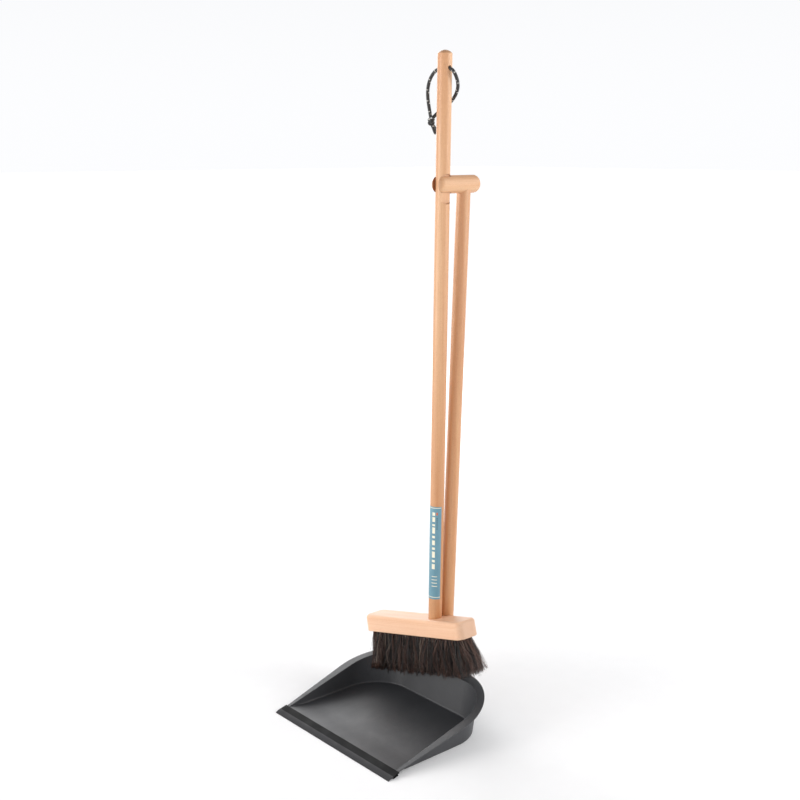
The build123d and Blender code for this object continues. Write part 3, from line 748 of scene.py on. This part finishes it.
def tuft_hairs(rng, tuft, row, pale_share):
    """One tuft's hairs in the block's frame, in locks that keep together, with their tones and radii."""
    locks, each = LOCKS_PER_TUFT, HAIRS_PER_LOCK
    angle = rng.uniform(0, 2 * math.pi, locks)
    spread = np.sqrt(rng.uniform(0, 1, locks))
    local = np.stack([np.cos(angle), np.sin(angle)], axis=1) * spread[:, None]

    toward = np.clip(tuft[0] / (HAIR_SPAN_RIGHT if tuft[0] > 0 else HAIR_SPAN_LEFT), -1.0, 1.0)
    flare = (HAIR_FLARE_RIGHT * max(toward, 0.0) ** 2.0) - HAIR_FLARE_LEFT * max(-toward, 0.0) ** 5
    whole = HAIR_LONG_LEFT + (HAIR_LONG_RIGHT - HAIR_LONG_LEFT) * (tuft[0] + HAIR_SPAN_LEFT) / 0.205
    whole = whole - 0.003 * abs(toward) ** 8

    t = np.linspace(0, 1, HAIR_JOINTS)[None, None, :, None]
    tip = local * 0.0040 + rng.normal(0, 0.0040, (locks, 2)) + rng.normal(0, 0.0020, 2)
    tip[:, 0] += flare
    tip[:, 1] += row * ROW_FAN * 0.058 + row * 0.0006
    bow = rng.normal(0, 0.0023, (locks, 1, 1, 2))
    twist = rng.normal(0, 0.0011, (locks, 1, 1, 2))
    brown = rng.uniform(0, 1, locks) < 0.5
    lock_tone = np.where(brown, rng.uniform(0.28, 0.68, locks), rng.uniform(0, 0.12, locks))

    fan = rng.normal(0, 1, (locks, each, 1, 2))
    own_bow = rng.normal(0, 0.0007, (locks, each, 1, 2))
    loose = rng.uniform(0, 1, (locks, each, 1, 1)) < 0.16
    fan = np.where(loose, fan * 0.0034, fan * 0.0008)
    root = tuft[:2] + local * TUFT_R
    flat = root[:, None, None, :] + tip[:, None, None, :] * t**1.25
    flat = flat + bow * np.sin(np.pi * t) + twist * np.sin(2.3 * np.pi * t + 0.4)
    flat = flat + rng.normal(0, 0.00022, (locks, each, 1, 2)) + fan * t + own_bow * np.sin(np.pi * t)
    long = whole + rng.normal(0, 0.0019, (locks, 1)) + rng.normal(0, 0.0009, (locks, each))
    broken = rng.uniform(0, 1, (locks, each)) < 0.12
    long = long - np.where(broken, rng.uniform(0.002, 0.012, (locks, each)), 0.0)
    lines = np.zeros((locks, each, HAIR_JOINTS, 3))
    lines[..., :2] = flat
    lines[..., 2] = -BLOCK_THICK + 0.0015 - t[..., 0] * (long[:, :, None] + 0.0015)
    lines = lines.reshape(-1, HAIR_JOINTS, 3)

    tone = (lock_tone[:, None] + rng.normal(0, 0.05, (locks, each))).clip(0, 0.68).ravel()
    pale = rng.uniform(0, 1, len(tone)) < pale_share
    tone[pale] = rng.uniform(0.80, 1.0, pale.sum())
    radius = STRAND_R * rng.uniform(0.75, 1.25, len(tone)) * np.where(pale, 1.3, 1.0)
    t = t[0]
    wave = rng.normal(0, 0.0030, (pale.sum(), 1, 2))
    ripple = rng.normal(0, 0.0010, (pale.sum(), 1, 2))
    lines[pale, :, :2] += wave * np.sin(np.pi * t) + ripple * np.sin(3 * np.pi * t)
    return lines, tone, radius


def hair_mesh(name, lines, tone, radius, material):
    """Three-sided strands that taper to a point."""
    count, joints = lines.shape[:2]
    tangent = unit(np.gradient(lines, axis=1))
    side = unit(np.cross(tangent, np.array([0.83, 0.51, 0.22])))
    up = np.cross(tangent, side)
    taper = np.linspace(1.0, 0.45, joints)[None, :, None, None]
    angle = np.array([0.0, 2.0944, 4.1888])[None, None, :, None]
    ring = side[:, :, None, :] * np.cos(angle) + up[:, :, None, :] * np.sin(angle)
    points = lines[:, :, None, :] + ring * taper * radius[:, None, None, None]
    index = np.arange(count * joints * 3).reshape(count, joints, 3)
    after = np.roll(index, -1, axis=2)
    quads = np.stack([index[:, :-1], after[:, :-1], after[:, 1:], index[:, 1:]], axis=-1).reshape(-1, 4)
    caps = index[:, -1, :]
    values = {"tone": np.repeat(tone, joints * 3)}
    return mesh_object(name, points.reshape(-1, 3), [quads, caps], material, values)


def make_hair():
    """One piece of hairs for each bristle row, rooted where the CAD staples are."""
    material = horsehair()
    rng = np.random.default_rng(11)
    places = to_block(islands(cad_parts["tuft_staples"]))
    places[:, 2] = -BLOCK_THICK
    middle = (places[:, 1].min() + places[:, 1].max()) / 2
    pitch = (places[:, 1].max() - places[:, 1].min()) / (HAIR_ROWS - 1)
    rows = np.rint((places[:, 1] - middle) / pitch).astype(int)
    for row in range(-(HAIR_ROWS // 2), HAIR_ROWS // 2 + 1):
        tufts = places[rows == row]
        tufts = tufts[np.argsort(tufts[:, 0])]
        pale_share = 0.022 if row == -(HAIR_ROWS // 2) else 0.012
        made = [tuft_hairs(rng, tuft, row, pale_share) for tuft in tufts]
        lines = to_world(np.concatenate([m[0] for m in made]))
        lines = settle(lines)
        tone = np.concatenate([m[1] for m in made])
        radius = np.concatenate([m[2] for m in made])
        number = row + HAIR_ROWS // 2 + 1
        hair = hair_mesh(f"hair_row_{number}", lines, tone, radius, material)
        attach(hair, "broom")
        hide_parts(f"bristle_row_{number}")


# ---------------------------------------------------------------- stage


def soft_light(name, at, target, size, power, colour=(1, 1, 1)):
    light = bpy.data.lights.new(name, "AREA")
    light.shape = "RECTANGLE"
    light.size, light.size_y = size
    light.energy = power
    light.color = colour
    obj = bpy.data.objects.new(name, light)
    obj.location = at
    obj.rotation_euler = (Vector(target) - Vector(at)).to_track_quat("-Z", "Y").to_euler()
    obj.visible_camera = False
    bpy.context.scene.collection.objects.link(obj)


def make_world():
    """A pale studio that is a little darker overhead."""
    world = bpy.data.worlds.new("studio")
    world.use_nodes = True
    nodes, links = world.node_tree.nodes, world.node_tree.links
    parts = nodes.new("ShaderNodeSeparateXYZ")
    links.new(nodes.new("ShaderNodeTexCoord").outputs["Generated"], parts.inputs[0])
    fall = nodes.new("ShaderNodeMapRange")
    fall.interpolation_type = "SMOOTHSTEP"
    fall.inputs["To Min"].default_value = 1.0
    fall.inputs["To Max"].default_value = 0.36
    links.new(parts.outputs["Z"], fall.inputs["Value"])
    background = nodes["Background"]
    background.inputs["Color"].default_value = (0.98, 0.985, 1.0, 1)
    links.new(fall.outputs[0], background.inputs["Strength"])
    bpy.context.scene.world = world


def make_stage():
    s = Shader("pale_floor")
    grain = s.noise(s.mapped((30, 30, 30)), detail=3)
    s.set(Base_Color=s.mix(grain, rgb(236, 236, 237), rgb(241, 241, 242)), Roughness=0.85)
    out = s.node("VectorMath", operation="LENGTH")
    s.feed(out.inputs[0], s.place)
    glow = s.mix(s.between(out.outputs["Value"], 0.5, 3.5), (0.10, 0.10, 0.10, 1), (0.55, 0.555, 0.565, 1))
    s.set(Emission_Color=glow, Emission_Strength=1.0)
    half = 40.0
    corners = np.array([(-half, -half, 0), (half, -half, 0), (half, half, 0), (-half, half, 0)], dtype=float)
    floor = mesh_object("floor", corners, [np.array([[0, 1, 2, 3]])], s.material)
    floor.location.z = CAD_BOX[0].z - 0.0002

    make_world()
    middle = (0.0, 0.0, 0.45)
    soft_light("key", (-1.1, -2.45, 0.8), middle, (1.4, 1.4), 42.0, (1.0, 0.98, 0.95))
    soft_light("tray_glow", (-2.48, 1.05, 1.31), (0.0, 0.0, 0.0), (1.9, 1.6), 26.0)
    soft_light("back", (1.2, 2.4, 2.0), middle, (1.2, 1.2), 14.0)
    soft_light("side", (2.05, 1.35, 1.15), (0.0, 0.0, 0.75), (0.6, 1.5), 24.0, (1.0, 0.99, 0.97))
    soft_light("flange_glow", (-1.9, 0.8, 2.0), (0.0, 0.0, 0.1), (1.0, 1.0), 10.0)


def make_camera():
    camera = bpy.data.cameras.new("camera")
    camera.lens = CAMERA_LENS
    obj = bpy.data.objects.new("camera", camera)
    obj.location = CAMERA_AT
    target = (CAD_BOX[0] + CAD_BOX[1]) / 2
    obj.rotation_euler = (target - CAMERA_AT).to_track_quat("-Z", "Y").to_euler()
    bpy.context.scene.collection.objects.link(obj)
    bpy.context.scene.camera = obj
    bpy.context.scene.view_settings.view_transform = "Standard"


make_camera()
dress_cad()
make_cord()
make_hair()
make_stage()
